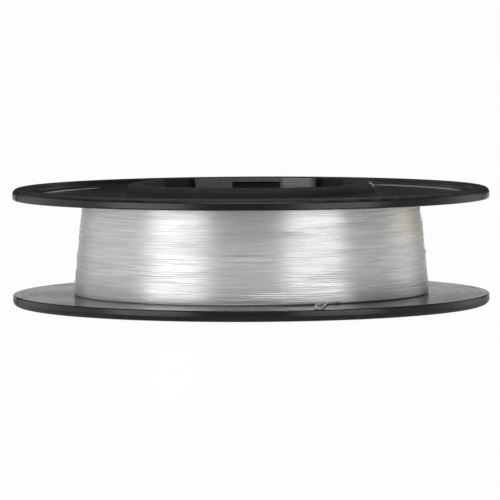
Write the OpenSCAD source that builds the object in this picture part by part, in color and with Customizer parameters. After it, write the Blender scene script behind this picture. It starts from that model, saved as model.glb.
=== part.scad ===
// Filler spool of clear fishing line: two alike flanges snapped onto a hub drum,
// with the line wound between them. Millimetres, Z along the spool's axis,
// z = 0 is the plane that the spool stands on.

/* [Flange] */
// Diameter over the rims
flange_d = 70; // [62:0.5:84]
// Clear width between the two flanges, where the line is wound
line_gap = 13.9; // [10:0.1:16]
// Thickness of the rim
rim_t = 1.6; // [1.4:0.1:2.4]
// Radial width of the raised rim on the outer face
rim_w = 2; // [1.4:0.1:4]
// Radius of the rim's rounded edge on the outer face
rim_round = 0.8; // [0.2:0.05:1]
// Radius of the rim's edge next to the line
rim_break = 0.2; // [0.1:0.05:0.4]
// Depth of the web below the rim on the outer face
web_recess = 1; // [0.5:0.05:1.1]
// Radius of the fillets at the web's edges
web_fillet = 0.35; // [0.1:0.05:0.5]

/* [Collar and bore] */
// Diameter of the bore that a spindle goes through
bore_d = 32; // [24:0.5:34]
// Height of the collar above the rim
collar_rise = 0.65; // [0.3:0.05:1.5]
// Wall of the collar outside the fingers
collar_wall = 1; // [1:0.1:2]
// Radius of the collar's rounded shoulder
shoulder_r = 0.85; // [0.3:0.05:0.95]
// Edge break at the mouth of the bore
bore_break = 0.15; // [0.05:0.05:0.3]
// Thickness of the lip over each window
lip_t = 0.6; // [0.4:0.05:1]
// Angle that each window under the lip takes
window_arc = 26; // [20:1:30]
// Angle that each open drive notch takes
notch_arc = 22; // [12:1:24]
// Depth of each window and drive notch past the fingers' outer face
notch_depth = 0.2; // [0.1:0.05:0.4]
// Azimuth of the first window
window_turn = 87; // [0:1:90]

/* [Snap fingers and hub] */
// Thickness of each finger
finger_t = 1.2; // [0.8:0.1:1.6]
// Radial room for the barb and the catch ledge behind the fingers
catch_depth = 0.8; // [0.6:0.05:1.2]
// Distance from the flange's inner face to the catch ledge
catch_set = 2.6; // [2:0.1:3]
// Thickness of the catch ledge
catch_t = 1; // [0.8:0.1:1.2]
// Length of the barbed tip past the ledge
tip_len = 1.3; // [1:0.1:1.5]
// Straight part of the tip, before its lead-in
tip_land = 0.3; // [0.2:0.05:0.5]
// Radial lead-in at the end of the tip, into the finger
tip_lead = 0.3; // [0.1:0.05:0.5]
// Clearance of the fingers from the hub
snap_clear = 0.15; // [0.1:0.05:0.2]
// Play of the barbs under their ledge
barb_play = 0.05; // [0.02:0.01:0.1]
// Wall of the hub drum
hub_wall = 1.5; // [1.2:0.1:2.5]

/* [Line slits] */
// Azimuth of the first of the two slits in each rim
slit_turn = 14; // [0:1:90]
// Width of each slit
slit_w = 0.45; // [0.3:0.05:0.8]
// Radial depth of each slit
slit_depth = 1.4; // [0.8:0.1:2]
// Lean of each slit from upright
slit_lean = 35; // [0:1:40]

/* [Line] */
// Diameter of the line
line_d = 0.3; // [0.25:0.05:0.5]
// Depth of the winding over the hub at the lower flange
fill_lower = 6.6; // [4:0.1:8]
// Depth of the winding over the hub at the upper flange
fill_upper = 5.2; // [4:0.1:8]
// Clear space between neighbouring turns of the outer layer
turn_space = 0.42; // [0.42:0.01:0.6]
// Clearance of the outer turns from what they lie on
line_clear = 0.03; // [0.02:0.01:0.06]
// Azimuth where the line leaves the winding
leave_az = -61; // [-90:1:-30]

/* [Hidden] */
$fn = 96;
cut = 1;

// Radii, from the bore outwards
bore_r = bore_d / 2;
finger_r = bore_r + finger_t;
hub_inner_r = finger_r + catch_depth;
hub_r = hub_inner_r + hub_wall;
gap_r = finger_r + notch_depth;
collar_r = finger_r + collar_wall;
flange_r = flange_d / 2;
rim_inner_r = flange_r - rim_w;
ledge_r = finger_r + snap_clear;
barb_r = hub_inner_r - snap_clear;

// Heights in one flange, from its inner face outwards
web_t = rim_t - web_recess;
collar_h = rim_t + collar_rise;
barb_z = -(catch_set + catch_t + barb_play);
finger_z = barb_z - tip_len;

// Heights in the spool
inner_z0 = collar_h;
inner_z1 = inner_z0 + line_gap;

// Windows and notches, which alternate with a finger between each two
pattern = 4;
step_arc = 360 / pattern;

// Step of the rim's rounded edges, and overlap of the shapes that a section joins
round_step = 45;
bite = 0.5;

// The outer layer of turns
rings = 24;
sides = 6;
tag_sides = 8;
bend_r = line_d;
bend_turn = 60;
bend_step = 30;
most_turns = 23;
turn_z1 = inner_z1 - line_d - bend_r;
turn_z0 = inner_z0 + line_d / 2 + line_clear;
turns = min(most_turns, floor((turn_z1 - turn_z0) / (line_d + turn_space) - 0.5)) + 0.5;
ring_count = turns * rings;

// Route of the loose end on the lower flange: azimuth past the winding's end,
// share of the way from the winding to the rim's edge, and lift in line diameters
tag_route = [
    [-4.5, 0, 0], [-7.4, 0.26, 0], [-9.9, 0.54, 0], [-11.8, 0.81, 0], [-12.5, 0.93, 0], [-13, 0.955, 0.1],
    [-13.5, 0.945, 0.15], [-13.65, 0.9, 0.2], [-13.2, 0.76, 0.35], [-12.2, 0.58, 0.5], [-11.5, 0.51, 0.65],
    [-10.8, 0.5, 0.85], [-10.2, 0.52, 1.1], [-9.9, 0.55, 1.5]
];
tag_steps = 3;

// Outer radius of the winding at a height in the spool
function fill_r(z) = hub_r + fill_lower + (fill_upper - fill_lower) * (z - inner_z0) / line_gap;
// Radius of the line's centre in the outer layer
function turn_r(z) = fill_r(z) - line_d / 2;
// Radius of the core that the outer layer lies on, inside the chords between its rings
function core_r(z) = turn_r(z) * cos(180 / rings) - line_d / 2 - line_clear;

function polar(r, a, z) = [r * cos(a), r * sin(a), z];
function unit(v) = v / norm(v);

// Centre line of the outer layer: down out of the upper flange, round, and onto the lower flange
start_az = leave_az + 360 * turns;
start_dir = [sin(start_az), -cos(start_az), 0];
start_top = polar(turn_r(turn_z1), start_az, inner_z1);
turn_drop = (turn_z1 - turn_z0) / ring_count;
bend = [
    for (a = [0:bend_step:bend_turn])
        start_top - [0, 0, line_d + bend_r * sin(a)] + start_dir * bend_r * (1 - cos(a))
];
helix = [
    for (i = [1:ring_count])
        let (z = turn_z1 - turn_drop * i)
        polar(turn_r(z), start_az - 360 / rings * i, z)
];
lay_end = helix[ring_count - 1];
leave_dir = [sin(leave_az), -cos(leave_az), 0];
turn_path = concat([start_top], bend, helix, [lay_end + leave_dir * line_d]);

// Centre line of the loose end
tag_start = lay_end + leave_dir * line_d;
tag_z = inner_z0 + line_d / 2 + line_clear;
tag_reach = flange_r - fill_r(tag_z);
tag_points = [
    for (p = tag_route)
        polar(fill_r(tag_z) + tag_reach * p[1], leave_az + p[0], tag_z + p[2] * line_d)
];
tag_knots = concat([tag_start, tag_start + leave_dir * line_d], tag_points);
tag_last = len(tag_knots) - 1;
function knot(i) =
    i > tag_last ? 2 * tag_knots[tag_last] - tag_knots[tag_last - 1] : tag_knots[max(i, 0)];
function spline(i, t) =
    0.5 * (2 * knot(i) + (knot(i + 1) - knot(i - 1)) * t
        + (2 * knot(i - 1) - 5 * knot(i) + 4 * knot(i + 1) - knot(i + 2)) * t * t
        + (3 * knot(i) - knot(i - 1) - 3 * knot(i + 1) + knot(i + 2)) * t * t * t);
tag_path = concat(
    [tag_start],
    [for (i = [1:tag_last - 1]) for (s = [0:tag_steps - 1]) spline(i, s / tag_steps)],
    [tag_knots[tag_last]]
);

// Direction of a path at one of its points
function heading(path, i) = unit(path[min(i + 1, len(path) - 1)] - path[max(i - 1, 0)]);
// One ring of a tube, square to the path; side is a direction that the path never takes
function ring(centre, along, side, radius, count) =
    let (b = unit(cross(along, side)), n = cross(b, along))
    [for (k = [0:count - 1]) centre + radius * (cos(360 * k / count) * n + sin(360 * k / count) * b)];
function skin(n, count) = [
    for (i = [0:n - 2]) for (k = [0:count - 1])
        let (a = i * count + k, b = i * count + (k + 1) % count)
        each [[a, b, b + count], [a, b + count, a + count]]
];
function caps(n, count) = concat(
    [for (k = [1:count - 2]) [0, k + 1, k]],
    [for (k = [1:count - 2]) [(n - 1) * count, (n - 1) * count + k, (n - 1) * count + k + 1]]
);

// Least gap between stretches of the outer layer that are half a turn or more apart
function near(path, i) = min([for (j = [i + rings / 2:len(path) - 1]) norm(path[i] - path[j])]);
least_gap = min([for (i = [0:len(turn_path) - 1 - rings / 2]) near(turn_path, i)]) - line_d;
echo(turns = turns, least_gap = least_gap);

// Quarter-round stretch of section that fills the corner at [0, 0]
module fillet(r) {
    difference() {
        square(r);
        translate([r, r]) circle(r);
    }
}

// Section of a flange: its inner face at height 0, its outer face upwards
module flange_section() {
    round_r = flange_r - rim_round;
    break_r = flange_r - rim_break;
    land_r = collar_r - shoulder_r;
    // Collar, and the ring below it that the fingers are cut from
    polygon([
        [bore_r, finger_z],
        [finger_r - tip_lead, finger_z],
        [barb_r, barb_z - tip_land],
        [barb_r, barb_z],
        [finger_r, barb_z],
        [finger_r, 0],
        [land_r, 0],
        [land_r, collar_h],
        [bore_r + bore_break, collar_h],
        [bore_r, collar_h - bore_break]
    ]);
    // Rounded shoulder of the collar
    translate([finger_r, 0]) square([collar_r - finger_r, collar_h - shoulder_r]);
    translate([land_r, collar_h - shoulder_r]) circle(shoulder_r);
    // Web, and the rim with its rounded edges
    translate([finger_r, 0]) square([round_r - finger_r, web_t]);
    polygon([
        [rim_inner_r, 0],
        for (a = [-90:round_step:0]) [break_r + rim_break * cos(a), rim_break * (1 + sin(a))],
        for (a = [0:round_step:90]) [round_r + rim_round * cos(a), rim_t - rim_round * (1 - sin(a))],
        [rim_inner_r, rim_t]
    ]);
    // Fillets at both edges of the web
    translate([collar_r, web_t]) fillet(web_fillet);
    translate([rim_inner_r, web_t]) mirror([1, 0]) fillet(web_fillet);
}

// Gap between two fingers, which goes on into the collar up to a height
module gap(arc, top) {
    rotate([0, 0, -arc / 2])
        rotate_extrude(angle = arc) {
            translate([bore_r - cut, finger_z - cut]) square([hub_inner_r - bore_r + cut, cut - finger_z]);
            translate([bore_r - cut, -cut]) square([gap_r - bore_r + cut, top + cut]);
        }
}

// Slit in the rim that holds the line's end
module slit() {
    translate([flange_r, 0, rim_t / 2])
        rotate([slit_lean, 0, 0])
        cube([2 * slit_depth, slit_w, 4 * rim_t], center = true);
}

// One flange: inner face at z = 0, outer face upwards
module flange() {
    difference() {
        rotate_extrude() flange_section();
        for (i = [0:pattern - 1]) {
            rotate([0, 0, window_turn + step_arc * i])
                gap(window_arc, collar_h - lip_t);
            rotate([0, 0, window_turn + step_arc * (i + 0.5)])
                gap(notch_arc, collar_h + cut);
        }
        for (a = [0, 180])
            rotate([0, 0, slit_turn + a]) slit();
    }
}

module upper_flange() {
    color([0.07, 0.07, 0.08])
        translate([0, 0, inner_z1]) flange();
}

module lower_flange() {
    color([0.09, 0.09, 0.1])
        translate([0, 0, inner_z0]) mirror([0, 0, 1]) flange();
}

// Drum that the line is wound on, with a ledge at each end for the barbs
module hub_drum() {
    color([0.12, 0.12, 0.13])
        rotate_extrude() {
            translate([hub_inner_r, inner_z0]) square([hub_wall, line_gap]);
            for (z = [inner_z0 + catch_set, inner_z1 - catch_set - catch_t])
                translate([ledge_r, z]) square([hub_inner_r - ledge_r + bite, catch_t]);
        }
}

// Inner layers of the line, as one plain body
module line_core() {
    color([0.8, 0.82, 0.82])
        rotate_extrude()
        polygon([
            [hub_r, inner_z0],
            [core_r(inner_z0), inner_z0],
            [core_r(inner_z1), inner_z1],
            [hub_r, inner_z1]
        ]);
}

// Outer layer of the line, one unbroken tube
module line_outer_turns() {
    points = [
        for (i = [0:len(turn_path) - 1])
            let (c = turn_path[i], out = unit([c[0], c[1], 0]))
            each ring(c, heading(turn_path, i), out, line_d / 2, sides)
    ];
    color([0.9, 0.91, 0.91])
        polyhedron(points, concat(skin(len(turn_path), sides), caps(len(turn_path), sides)), convexity = 10);
}

// Loose end of the line, curled on the lower flange
module line_tag_end() {
    points = [
        for (i = [0:len(tag_path) - 1])
            each ring(tag_path[i], heading(tag_path, i), [0, 0, 1], line_d / 2, tag_sides)
    ];
    color([0.92, 0.9, 0.88])
        polyhedron(points, concat(skin(len(tag_path), tag_sides), caps(len(tag_path), tag_sides)), convexity = 6);
}

upper_flange();
lower_flange();
hub_drum();
line_core();
line_outer_turns();
line_tag_end();
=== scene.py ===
"""A small filler spool of clear fishing line: the finished look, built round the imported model."""

import math

import bmesh
import bpy
from mathutils import Matrix, Vector


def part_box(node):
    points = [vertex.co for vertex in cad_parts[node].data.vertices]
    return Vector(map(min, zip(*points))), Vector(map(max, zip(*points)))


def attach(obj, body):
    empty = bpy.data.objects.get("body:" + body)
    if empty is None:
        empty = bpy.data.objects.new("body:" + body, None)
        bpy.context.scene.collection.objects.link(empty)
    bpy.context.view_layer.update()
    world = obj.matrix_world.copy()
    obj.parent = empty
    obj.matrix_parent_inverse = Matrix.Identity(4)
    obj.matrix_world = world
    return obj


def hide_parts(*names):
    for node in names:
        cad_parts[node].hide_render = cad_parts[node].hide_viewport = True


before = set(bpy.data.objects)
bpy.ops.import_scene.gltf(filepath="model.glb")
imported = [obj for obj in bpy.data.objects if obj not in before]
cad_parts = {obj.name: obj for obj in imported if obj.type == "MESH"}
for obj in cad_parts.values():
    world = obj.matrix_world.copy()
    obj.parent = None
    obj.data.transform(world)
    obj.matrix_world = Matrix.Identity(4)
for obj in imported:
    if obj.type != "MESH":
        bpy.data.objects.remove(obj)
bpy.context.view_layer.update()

MM = 0.001
TAU = 2 * math.pi

# ---------------------------------------------------------------- sizes, in millimetres

# Rim and web
FLANGE_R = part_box("upper_flange")[1].x / MM
SPOOL_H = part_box("upper_flange")[1].z / MM
RIM_T = 1.6
RIM_W = 2.0
RIM_FOOT_R = FLANGE_R - RIM_W
RIM_ROUND = 0.8
RIM_BREAK = 0.2
RIM_INNER_ROUND = 0.12
WEB_T = 0.6
WEB_FILLET = 0.35

# Bore and collar, with their windows and notches
BORE_R = 16.0
COLLAR_RISE = 0.65
COLLAR_R = 18.2
SHOULDER_ROUND = 0.85
MOUTH_ROUND = 0.15
MOUTH_DRAFT = 0.075
MOUTH_DEPTH = 1.3
MOUTH_BREAK = 0.05
LIP_T = 0.6
WINDOW_ARC = 26.0
NOTCH_ARC = 22.0
WINDOW_TURN = 87.0
PATTERN = 4

# Snap fingers and the room round them
FINGER_R = 17.2
GAP_R = FINGER_R + 0.2
HUB_INNER_R = FINGER_R + 0.8
BARB_R = 17.85
BARB_Z = -3.65
TIP_LAND = 0.3
TIP_LEAD = 0.3
FINGER_Z = -4.95
SMALL_ROUND = 0.1

# Line slits in the rim
SLIT_TURN = 14.0
SLIT_W = 0.45
SLIT_DEPTH = 1.4
SLIT_LEAN = 35.0

# Heights of a flange's collar, of the winding's ends and of the spool's middle
COLLAR_H = RIM_T + COLLAR_RISE
INNER_Z0 = COLLAR_H
INNER_Z1 = SPOOL_H - COLLAR_H
MIDDLE_Z = SPOOL_H / 2

# Line, the winding's depth over the drum at each end, and where it ends
LINE_D = 0.3
LINE_R = LINE_D / 2
HUB_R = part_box("hub_drum")[1].x / MM
FILL_LOWER = 6.6
FILL_UPPER = 5.2
LINE_CLEAR = 0.03
LEAVE_AZ = -61.0


def fill_r(z):
    """Outer radius of the winding at a height."""
    share = (z - INNER_Z0) / (INNER_Z1 - INNER_Z0)
    return HUB_R + FILL_LOWER + (FILL_UPPER - FILL_LOWER) * share


def polar(r, azimuth, z):
    """A place from its distance to the axis, its azimuth in degrees and its height."""
    a = math.radians(azimuth)
    return Vector((r * math.cos(a), r * math.sin(a), z))


# ---------------------------------------------------------------- meshes


def mesh_object(name, points, faces):
    """A mesh object from points in millimetres, with its faces turned outwards."""
    mesh = bpy.data.meshes.new(name)
    mesh.from_pydata([Vector(p) * MM for p in points], [], faces)
    turn_outwards(mesh)
    obj = bpy.data.objects.new(name, mesh)
    bpy.context.scene.collection.objects.link(obj)
    return obj


def turn_outwards(mesh):
    """Turns every face's normal to the outside."""
    bm = bmesh.new()
    bm.from_mesh(mesh)
    bmesh.ops.recalc_face_normals(bm, faces=bm.faces)
    bm.to_mesh(mesh)
    bm.free()


def shade(mesh, sharp_above=30.0):
    """Smooth shading that keeps edges sharper than an angle."""
    mesh.shade_smooth()
    mesh.set_sharp_from_angle(angle=math.radians(sharp_above))


def settle(obj):
    """Turns an object with modifiers into its plain mesh."""
    graph = bpy.context.evaluated_depsgraph_get()
    graph.update()
    plain = bpy.data.meshes.new_from_object(obj.evaluated_get(graph))
    obj.modifiers.clear()
    obj.data = plain
    plain.name = obj.name


# Steps to a radian on a rounded corner, those that its radius adds, and the radius where they stop rising
ARC_STEPS, EXTRA_STEPS, LARGE_ROUND = 4, 6, 0.5


def rounded_section(corners, lead=0.03):
    """A closed outline with each corner (r, z, radius) rounded. Lead points keep the flats flat."""
    outline = []
    for i, (r, z, radius) in enumerate(corners):
        here = Vector((r, z))
        back = (Vector(corners[i - 1][:2]) - here).normalized()
        ahead = (Vector(corners[(i + 1) % len(corners)][:2]) - here).normalized()
        half = back.angle(ahead) / 2
        reach = radius / math.tan(half)
        centre = here + (back + ahead).normalized() * radius / math.sin(half)
        first = here + back * reach - centre
        last = here + ahead * reach - centre
        swing = first.angle_signed(last)
        steps = max(3, round(abs(swing) * (ARC_STEPS + EXTRA_STEPS * min(radius, LARGE_ROUND))))
        outline.append(here + back * (reach + lead))
        for k in range(steps + 1):
            a = -swing * k / steps
            outline.append(centre + Vector((
                first.x * math.cos(a) - first.y * math.sin(a),
                first.x * math.sin(a) + first.y * math.cos(a),
            )))
        outline.append(here + ahead * (reach + lead))
    return outline


def lathe(name, outline, steps):
    """A closed outline turned once round the spool's axis."""
    count = len(outline)
    points = []
    for k in range(steps):
        a = TAU * k / steps
        points += [(p[0] * math.cos(a), p[0] * math.sin(a), p[1]) for p in outline]
    faces = []
    for k in range(steps):
        here, there = k * count, (k + 1) % steps * count
        for j in range(count):
            faces.append((here + j, here + (j + 1) % count, there + (j + 1) % count, there + j))
    return mesh_object(name, points, faces)


def sector(outline, centre_az, arc, steps=12):
    """Points and faces of a closed outline turned through part of a circle."""
    count = len(outline)
    points = []
    for k in range(steps + 1):
        points += [polar(r, centre_az - arc / 2 + arc * k / steps, z) for r, z in outline]
    faces = [tuple(range(count)), tuple(range(steps * count, (steps + 1) * count))]
    for k in range(steps):
        for j in range(count):
            a, b = k * count + j, k * count + (j + 1) % count
            faces.append((a, b, b + count, a + count))
    return points, faces


def slit_box(azimuth):
    """Points and faces of the leaning cut that makes one line slit in the rim."""
    place = (
        Matrix.Rotation(math.radians(azimuth), 4, "Z")
        @ Matrix.Translation((FLANGE_R, 0, RIM_T / 2))
        @ Matrix.Rotation(math.radians(SLIT_LEAN), 4, "X")
    )
    points = [
        place @ Vector((x * SLIT_DEPTH, y * SLIT_W / 2, z * 2 * RIM_T))
        for x in (-1, 1) for y in (-1, 1) for z in (-1, 1)
    ]
    faces = [(0, 1, 3, 2), (4, 6, 7, 5), (0, 4, 5, 1), (2, 3, 7, 6), (0, 2, 6, 4), (1, 5, 7, 3)]
    return points, faces


def joined(parts):
    """Several lists of points and faces as one."""
    points, faces = [], []
    for part_points, part_faces in parts:
        base = len(points)
        points += part_points
        faces += [tuple(base + i for i in face) for face in part_faces]
    return points, faces


# Radius of the rings that round off a tube's end, and the end's length, as shares of the tube's radius
END_RINGS = (0.15, 0.6, 0.9)
END_LENGTH = 0.6


def tube(name, path, radius, sides):
    """A round tube along points in millimetres, with rounded ends."""
    path = [Vector(p) for p in path]
    first, last = (path[1] - path[0]).normalized(), (path[-1] - path[-2]).normalized()
    rings = []
    for k in END_RINGS:
        rings.append((path[0] - first * radius * math.sqrt(1 - k * k) * END_LENGTH, first, radius * k))
    for i, p in enumerate(path):
        ahead = path[min(i + 1, len(path) - 1)] - path[max(i - 1, 0)]
        rings.append((p, ahead.normalized(), radius))
    for k in reversed(END_RINGS):
        rings.append((path[-1] + last * radius * math.sqrt(1 - k * k) * END_LENGTH, last, radius * k))
    side = rings[0][1].cross(Vector((0, 0, 1))).normalized()
    points = []
    for centre, along, r in rings:
        side = (side - along * side.dot(along)).normalized()
        up = along.cross(side)
        for k in range(sides):
            a = TAU * k / sides
            points.append(centre + (side * math.cos(a) + up * math.sin(a)) * r)
    faces = [tuple(range(sides)), tuple(range(len(points) - sides, len(points)))]
    for i in range(len(rings) - 1):
        for k in range(sides):
            a, b = i * sides + k, i * sides + (k + 1) % sides
            faces.append((a, b, b + sides, a + sides))
    return mesh_object(name, points, faces)


# ---------------------------------------------------------------- node helpers


# Sockets that share their names with others: of a Mix node for colours, and of a Random Value node
MIX_SHARE, MIX_A, MIX_B, MIX_RESULT = 0, 6, 7, 2
RANDOM_LOW, RANDOM_HIGH, RANDOM_RESULT = 2, 3, 1


class Tree:
    """Short ways to add and join nodes in a tree."""

    def __init__(self, tree):
        self.tree = tree

    def add(self, kind, **settings):
        """A new node with its settings."""
        node = self.tree.nodes.new(kind)
        for key, value in settings.items():
            setattr(node, key, value)
        return node

    def feed(self, socket, value):
        """Gives an input another node's output, or a fixed value."""
        if isinstance(value, bpy.types.NodeSocket):
            self.tree.links.new(value, socket)
        else:
            socket.default_value = value

    def math(self, operation, *values):
        node = self.add("ShaderNodeMath", operation=operation)
        for socket, value in zip(node.inputs, values):
            self.feed(socket, value)
        return node.outputs[0]

    def product(self, *values):
        """All the values multiplied, from the left."""
        result = values[0]
        for value in values[1:]:
            result = self.math("MULTIPLY", result, value)
        return result

    def length(self, a, b):
        """Length of the long side over two short ones."""
        squares = [self.math("MULTIPLY", value, value) for value in (a, b)]
        return self.math("SQRT", self.math("ADD", *squares))

    def apart(self, place):
        """X, Y and Z of a place."""
        node = self.add("ShaderNodeSeparateXYZ")
        self.feed(node.inputs[0], place)
        return node.outputs

    def vector(self, x, y, z):
        node = self.add("ShaderNodeCombineXYZ")
        for socket, value in zip(node.inputs, (x, y, z)):
            self.feed(socket, value)
        return node.outputs[0]

    def noise(self, vector, scale=1.0, detail=2.0, rough=0.5):
        """Noise from 0 to 1 at a place."""
        node = self.add("ShaderNodeTexNoise")
        self.feed(node.inputs["Vector"], vector)
        self.feed(node.inputs["Scale"], scale)
        self.feed(node.inputs["Detail"], detail)
        self.feed(node.inputs["Roughness"], rough)
        return node.outputs[0]

    def from_middle(self, z):
        """Distance of a height from the spool's middle."""
        return self.math("ABSOLUTE", self.math("SUBTRACT", z, MIDDLE_Z * MM))

    def spread(self, value, low, high, to_low=0.0, to_high=1.0):
        """A value moved from one range to another, and held inside it."""
        node = self.add("ShaderNodeMapRange")
        for socket, v in zip(node.inputs, (value, low, high, to_low, to_high)):
            self.feed(socket, v)
        return node.outputs[0]

    def zone(self, value, low, high, to_low=0.0, to_high=1.0):
        """The same, with the first range in millimetres."""
        return self.spread(value, low * MM, high * MM, to_low, to_high)

    def within(self, value, rise, fall):
        """1 inside a zone and 0 outside it, with both of its soft edges in millimetres."""
        return self.math("MULTIPLY", self.zone(value, *rise), self.zone(value, *fall, 1.0, 0.0))

    def blend(self, share, a, b):
        """Colour a to colour b."""
        node = self.add("ShaderNodeMix", data_type="RGBA")
        self.feed(node.inputs[MIX_SHARE], share)
        self.feed(node.inputs[MIX_A], a)
        self.feed(node.inputs[MIX_B], b)
        return node.outputs[MIX_RESULT]


def with_sockets(tree, inputs, outputs):
    """Gives a node group its named inputs and outputs."""
    for name, kind in inputs:
        tree.interface.new_socket(name, in_out="INPUT", socket_type=kind)
    for name, kind in outputs:
        tree.interface.new_socket(name, in_out="OUTPUT", socket_type=kind)


def set_inputs(modifier, values):
    """Sets a Geometry Nodes modifier's inputs by the names of the tree's sockets."""
    for item in modifier.node_group.interface.items_tree:
        if item.item_type == "SOCKET" and item.in_out == "INPUT" and item.name in values:
            modifier[item.identifier] = values[item.name]


# ---------------------------------------------------------------- winding, by Geometry Nodes


WINDING_INPUTS = [
    ("Geometry", "NodeSocketGeometry"),
    ("Strands", "NodeSocketInt"),
    ("Turns", "NodeSocketFloat"),
    ("Points", "NodeSocketInt"),
    ("Sides", "NodeSocketInt"),
    ("End Azimuth", "NodeSocketFloat"),
    ("Line Radius", "NodeSocketFloat"),
    ("Foot Radius", "NodeSocketFloat"),
    ("Top Radius", "NodeSocketFloat"),
    ("Foot Height", "NodeSocketFloat"),
    ("Top Height", "NodeSocketFloat"),
    ("Wander", "NodeSocketFloat"),
    ("Lumps", "NodeSocketFloat"),
    ("Bulge", "NodeSocketFloat"),
    ("Jitter", "NodeSocketFloat"),
    ("Climb", "NodeSocketFloat"),
    ("Sink", "NodeSocketFloat"),
    ("Rise", "NodeSocketFloat"),
    ("Seed", "NodeSocketInt"),
    ("Material", "NodeSocketMaterial"),
]


# Scales of each unevenness round the drum and up it, and the places in the noise that keep them apart
DRIFT_SCALE = (1.3, 1.9 / MM)
LUMPS_SCALE, LUMPS_PLACE = (1.1, 0.45 / MM), 7.0
JITTER_SCALE, JITTER_PLACE = (1.5, 3.1 / MM), 40.0
BULGE_SCALE, BULGE_PLACE = (1.2, 1.5 / MM), 61.0

# The bulge: how much of it is uneven and how much steady, the cosines of its azimuth between which it
# rises, and how it falls off with height from its middle, as shares of the winding's height
BULGE_UNEVEN, BULGE_STEADY = 0.5, 0.3
BULGE_SIDE = (0.6, 0.95)
BULGE_MIDDLE = 0.4
BULGE_FALL = (0.1, 0.45, 1.0, 0.15)

# Crossing strands: range of their lengths as shares of the turns, range of the heights of their middles as
# shares of the winding's, and how suddenly their ends sink into it
CROSSING_LENGTHS = (0.5, 1.0)
CROSSING_LEVELS = (0.08, 0.92)
SINK_POWER = 4.0

# Streaks of shade along the line: scale round the drum, scale up it, and step from strand to strand
STREAK_ROUND, STREAK_UP, STREAK_STEP = 2.4, 2.4 / MM, 3.7


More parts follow.
